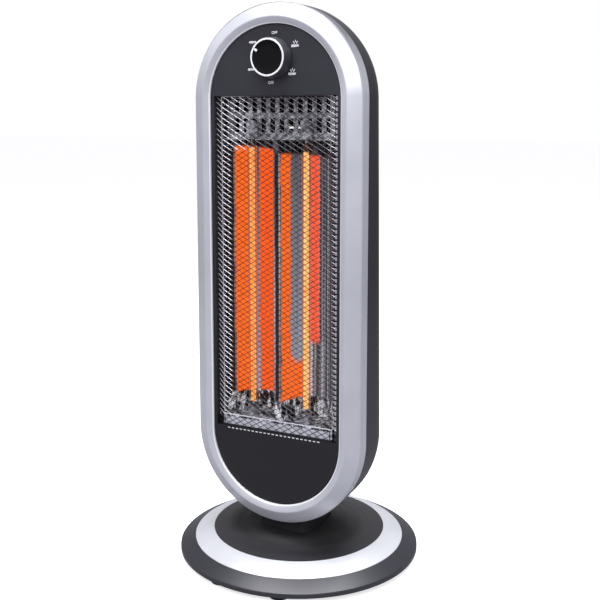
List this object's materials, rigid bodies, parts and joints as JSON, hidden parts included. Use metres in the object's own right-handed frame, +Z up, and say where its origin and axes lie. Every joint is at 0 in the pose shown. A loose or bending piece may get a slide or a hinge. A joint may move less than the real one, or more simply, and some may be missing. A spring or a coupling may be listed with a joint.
{
  "type": "oscillating carbon heater",
  "caption": "Upright carbon tube heater with a rounded frame, a diamond mesh guard and a dial, swinging on a round base.",
  "frame": {"origin": "centre of the base on the floor", "axes": "+Z up along the swivel axis, -Y the front with the guard and dial, +X to the right when seen from the front"},
  "size_m": [0.282, 0.2819, 0.6345],
  "materials": {
    "black_base": "satin black moulded plastic",
    "silver_trim": "silver painted plastic",
    "black_plate": "matt black moulded plastic",
    "rubber": "matt",
    "steel": "zinc plated",
    "switch_plastic": "matt ivory",
    "white_plastic": "matt white",
    "orange_plastic": "matt orange",
    "neck_black": "satin black moulded plastic",
    "shell_black": "satin black moulded plastic",
    "silver_ring": "silver grey painted plastic",
    "panel_black": "satin black moulded plastic",
    "chrome_wire": "bright plated",
    "sheet_steel": "plain sheet",
    "bright_aluminium": "polished",
    "quartz": "clear, warm tinted by the glow",
    "carbon": "glowing carbon strip",
    "ceramic": "matt ceramic",
    "knob_black": "gloss black moulded plastic",
    "print_white": "white print"
  },
  "bodies": {
    "base": {"base_cover": "black_base", "base_trim_ring": "silver_trim", "bottom_plate": "black_plate", "rubber_feet": "rubber", "base_screws": "steel", "cord_gland": "rubber", "terminal_block": "switch_plastic", "thrust_washer": "white_plastic", "gear_motor": "steel", "motor_screws": "steel", "tip_switch_housing": "switch_plastic", "tip_microswitch": "black_plate", "plunger_spring": "steel"},
    "heater_body": {"neck": "neck_black", "neck_screws": "steel", "retaining_clip": "steel", "swing_arm": "steel", "swing_arm_screws": "steel", "rear_shell": "shell_black", "front_ring": "silver_ring", "front_panel": "panel_black", "front_guard": "chrome_wire", "housing_screws": "steel", "chassis_plate": "sheet_steel", "chassis_screws": "steel", "reflector": "bright_aluminium", "slotted_sheet": "bright_aluminium", "lower_bracket": "bright_aluminium", "upper_bracket": "bright_aluminium", "glass_tubes": "quartz", "carbon_strips": "carbon", "tube_terminals": "steel", "end_caps": "ceramic", "thermal_cutout": "ceramic", "rotary_switch": "black_plate", "switch_nut": "steel"},
    "drive_crank": {"motor_shaft": "steel", "crank": "white_plastic", "crank_roller": "black_plate"},
    "plunger": {"tip_plunger": "orange_plastic"},
    "knob": {"switch_spindle": "steel", "knob_body": "knob_black", "knob_ring": "print_white", "knob_pointer": "print_white"}
  },
  "joints": [
    {"name": "body_oscillation", "type": "hinge", "parent": "base", "child": "heater_body", "pos_m": [0, 0, 0.03], "axis": [0, 0, 1], "range_deg": [-35, 35]},
    {"name": "crank_turn", "type": "hinge", "parent": "base", "child": "drive_crank", "pos_m": [0, 0.041, 0.013], "axis": [0, 0, 1], "range_deg": [-107, 107]},
    {"name": "tip_plunger_slide", "type": "slide", "parent": "base", "child": "plunger", "axis": [0, 0, 1], "range_m": [-0.004, 0], "stiffness_N_per_m": 150, "springref_m": -0.004, "deforming": ["plunger_spring"]},
    {"name": "knob_turn", "type": "hinge", "parent": "heater_body", "child": "knob", "pos_m": [0, -0.07, 0.5747], "axis": [0, -1, 0], "continuous": true}
  ],
  "couplings": [
    {"joint": "crank_turn", "follows": "body_oscillation", "ratio": 3.03}
  ]
}
